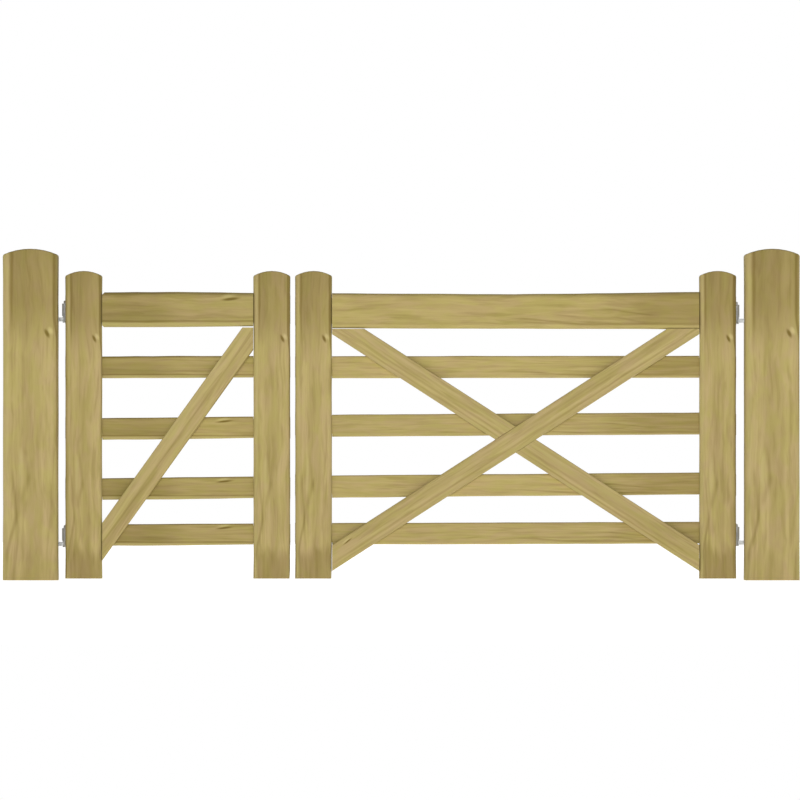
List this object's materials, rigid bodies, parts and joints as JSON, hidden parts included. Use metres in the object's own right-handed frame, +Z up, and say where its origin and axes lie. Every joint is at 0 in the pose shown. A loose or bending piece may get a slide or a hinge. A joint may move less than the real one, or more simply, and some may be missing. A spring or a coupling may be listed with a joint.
{
  "type": "five-bar gate",
  "caption": "Timber field gate: a narrow and a wide braced leaf with domed stiles, hung on hook-and-band hinges between domed square posts and opening to the back.",
  "frame": {"origin": "centre of the left post's foot, seen from the front", "axes": "+X from the left post to the right post, +Y from the front to the back, where the leaves open, +Z up"},
  "size_m": [3.183, 0.22, 1.3239],
  "materials": {
    "post_timber": "pressure-treated softwood, planed, olive tan",
    "stile_timber": "pressure-treated softwood, planed, olive tan",
    "bar_timber": "pressure-treated softwood, planed, olive tan",
    "brace_timber": "pressure-treated softwood, planed, olive tan",
    "wedge_timber": "pressure-treated softwood, end grain",
    "galvanised_steel": "hot-dip galvanised, dull grey"
  },
  "bodies": {
    "posts": {"left_post": "post_timber", "right_post": "post_timber", "narrow_top_hook": "galvanised_steel", "narrow_bottom_hook": "galvanised_steel", "wide_top_hook": "galvanised_steel", "wide_bottom_hook": "galvanised_steel"},
    "narrow_leaf": {"narrow_hanging_stile": "stile_timber", "narrow_meeting_stile": "stile_timber", "narrow_top_rail": "bar_timber", "narrow_second_bar": "bar_timber", "narrow_third_bar": "bar_timber", "narrow_fourth_bar": "bar_timber", "narrow_bottom_bar": "bar_timber", "narrow_brace": "brace_timber", "narrow_wedges": "wedge_timber", "narrow_top_band": "galvanised_steel", "narrow_bottom_band": "galvanised_steel"},
    "wide_leaf": {"wide_meeting_stile": "stile_timber", "wide_hanging_stile": "stile_timber", "wide_top_rail": "bar_timber", "wide_second_bar": "bar_timber", "wide_third_bar": "bar_timber", "wide_fourth_bar": "bar_timber", "wide_bottom_bar": "bar_timber", "wide_rising_brace": "brace_timber", "wide_falling_brace": "brace_timber", "wide_wedges": "wedge_timber", "wide_top_band": "galvanised_steel", "wide_bottom_band": "galvanised_steel"}
  },
  "joints": [
    {"name": "narrow_leaf_hinge", "type": "hinge", "parent": "posts", "child": "narrow_leaf", "pos_m": [0.138, 0.0493, 0.6], "axis": [0, 0, 1], "range_deg": [0, 95]},
    {"name": "wide_leaf_hinge", "type": "hinge", "parent": "posts", "child": "wide_leaf", "pos_m": [2.821, 0.0493, 0.6], "axis": [0, 0, -1], "range_deg": [0, 95]}
  ]
}
